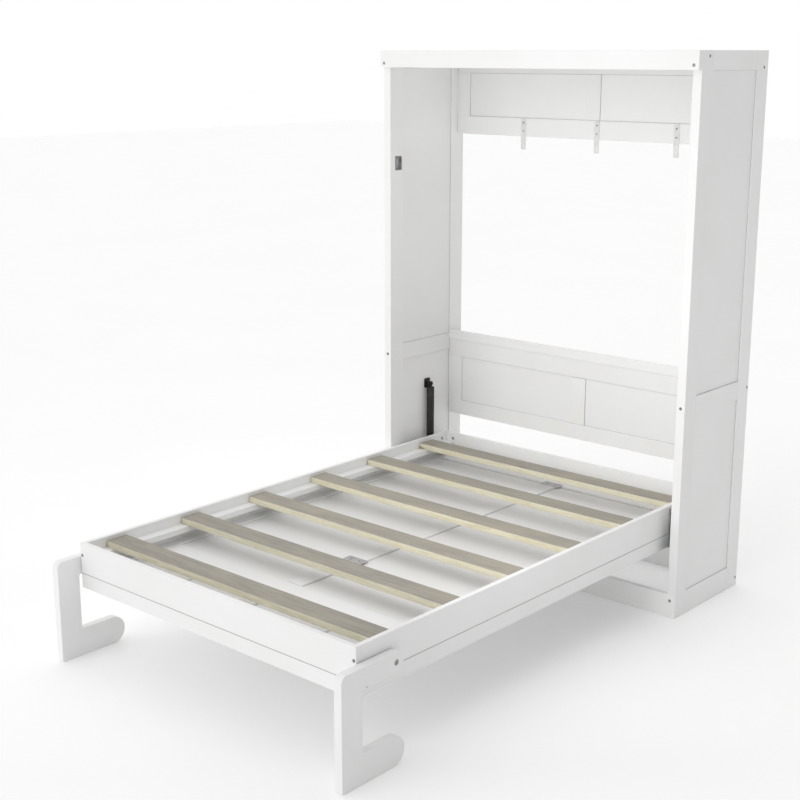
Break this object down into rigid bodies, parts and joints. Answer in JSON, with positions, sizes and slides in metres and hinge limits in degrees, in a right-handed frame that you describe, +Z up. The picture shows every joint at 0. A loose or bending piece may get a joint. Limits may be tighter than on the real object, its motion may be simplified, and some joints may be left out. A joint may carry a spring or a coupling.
{
  "type": "murphy wall bed",
  "caption": "White wall bed: open framed cabinet, slatted deck that folds up on side pivots with gas struts, and swinging C-shaped foot legs.",
  "frame": {"origin": "on the floor, at the middle of the cabinet's back edge, where it meets the wall", "axes": "+X to the right seen from the foot, +Y into the wall, +Z up"},
  "size_m": [1.59, 2.414, 2.25],
  "materials": {
    "white_paint": "semi-matt white paint on solid wood and board",
    "bare_timber": "planed, unfinished",
    "zinc_steel": "bright zinc plate",
    "white_steel": "white powder coat",
    "grey_steel": "grey powder coat",
    "black_metal": "satin black paint",
    "rod_steel": "polished"
  },
  "bodies": {
    "cabinet": {"cabinet_fasteners": "zinc_steel", "cabinet_pivot_plates": "grey_steel", "catch_plate": "grey_steel", "front_bottom_rail": "white_paint", "headboard_bottom_rail": "white_paint", "headboard_cap": "white_paint", "headboard_centre_stile": "white_paint", "headboard_panels": "white_paint", "headboard_side_stiles": "white_paint", "headboard_top_rail": "white_paint", "header_board": "white_paint", "left_front_stile": "white_paint", "rear_bottom_rail": "white_paint", "rear_mid_rail": "white_paint", "rear_stiles": "white_paint", "right_front_stile": "white_paint", "side_bottom_rails": "white_paint", "side_lower_panels": "white_paint", "side_mid_rails": "white_paint", "side_top_rails": "white_paint", "side_upper_panels": "white_paint", "strut_cabinet_brackets": "black_metal", "top_panel": "white_paint", "upper_back_bottom_rail": "white_paint", "upper_back_centre_stile": "white_paint", "upper_back_panels": "white_paint", "upper_back_side_stiles": "white_paint", "upper_back_top_rail": "white_paint", "wall_straps": "white_steel"},
    "deck": {"bed_fasteners": "zinc_steel", "bed_pivot_plates": "grey_steel", "corner_blocks": "white_paint", "end_skirts": "white_paint", "face_centre_stiles": "white_paint", "face_cross_rail": "white_paint", "face_end_rails": "white_paint", "face_long_panels": "white_paint", "face_mullions": "white_paint", "face_short_panels": "white_paint", "face_side_stiles": "white_paint", "foot_rail": "white_paint", "head_rail": "white_paint", "joining_plates": "zinc_steel", "left_side_rail": "white_paint", "right_side_rail": "white_paint", "side_skirts": "white_paint", "slat_1": "bare_timber", "slat_2": "bare_timber", "slat_3": "bare_timber", "slat_4": "bare_timber", "slat_5": "bare_timber", "slat_6": "bare_timber", "slat_ledgers": "white_paint", "strut_deck_brackets": "black_metal"},
    "left_leg_body": {"left_leg": "white_paint"},
    "right_leg_body": {"right_leg": "white_paint"},
    "left_cylinder_body": {"left_strut_cylinder": "black_metal"},
    "right_cylinder_body": {"right_strut_cylinder": "black_metal"},
    "left_rod_body": {"left_strut_rod": "rod_steel"},
    "right_rod_body": {"right_strut_rod": "rod_steel"}
  },
  "joints": [
    {"name": "bed_fold", "type": "hinge", "parent": "cabinet", "child": "deck", "pos_m": [0, -0.413, 0.262], "axis": [-1, 0, 0], "range_deg": [0, 90]},
    {"name": "left_leg_swing", "type": "hinge", "parent": "deck", "child": "left_leg_body", "pos_m": [0, -2.161, 0.363], "axis": [-1, 0, 0], "range_deg": [-90, 0]},
    {"name": "left_strut_tilt", "type": "hinge", "parent": "cabinet", "child": "left_cylinder_body", "pos_m": [0, -0.25, 0.7], "axis": [-1, 0, 0], "range_deg": [0, 11.11]},
    {"name": "left_strut_slide", "type": "slide", "parent": "left_cylinder_body", "child": "left_rod_body", "axis": [0, 0, -1], "range_m": [0, 0.2195]},
    {"name": "right_leg_swing", "type": "hinge", "parent": "deck", "child": "right_leg_body", "pos_m": [0, -2.161, 0.363], "axis": [-1, 0, 0], "range_deg": [-90, 0]},
    {"name": "right_strut_tilt", "type": "hinge", "parent": "cabinet", "child": "right_cylinder_body", "pos_m": [0, -0.25, 0.7], "axis": [-1, 0, 0], "range_deg": [0, 11.11]},
    {"name": "right_strut_slide", "type": "slide", "parent": "right_cylinder_body", "child": "right_rod_body", "axis": [0, 0, -1], "range_m": [0, 0.2195]}
  ],
  "couplings": [
    {"joint": "left_leg_swing", "follows": "bed_fold", "ratio": -1},
    {"joint": "left_strut_tilt", "follows": "bed_fold", "ratio": 0.12342},
    {"joint": "left_strut_slide", "follows": "bed_fold", "m_per_rad": 0.13972},
    {"joint": "right_leg_swing", "follows": "bed_fold", "ratio": -1},
    {"joint": "right_strut_tilt", "follows": "bed_fold", "ratio": 0.12342},
    {"joint": "right_strut_slide", "follows": "bed_fold", "m_per_rad": 0.13972}
  ]
}
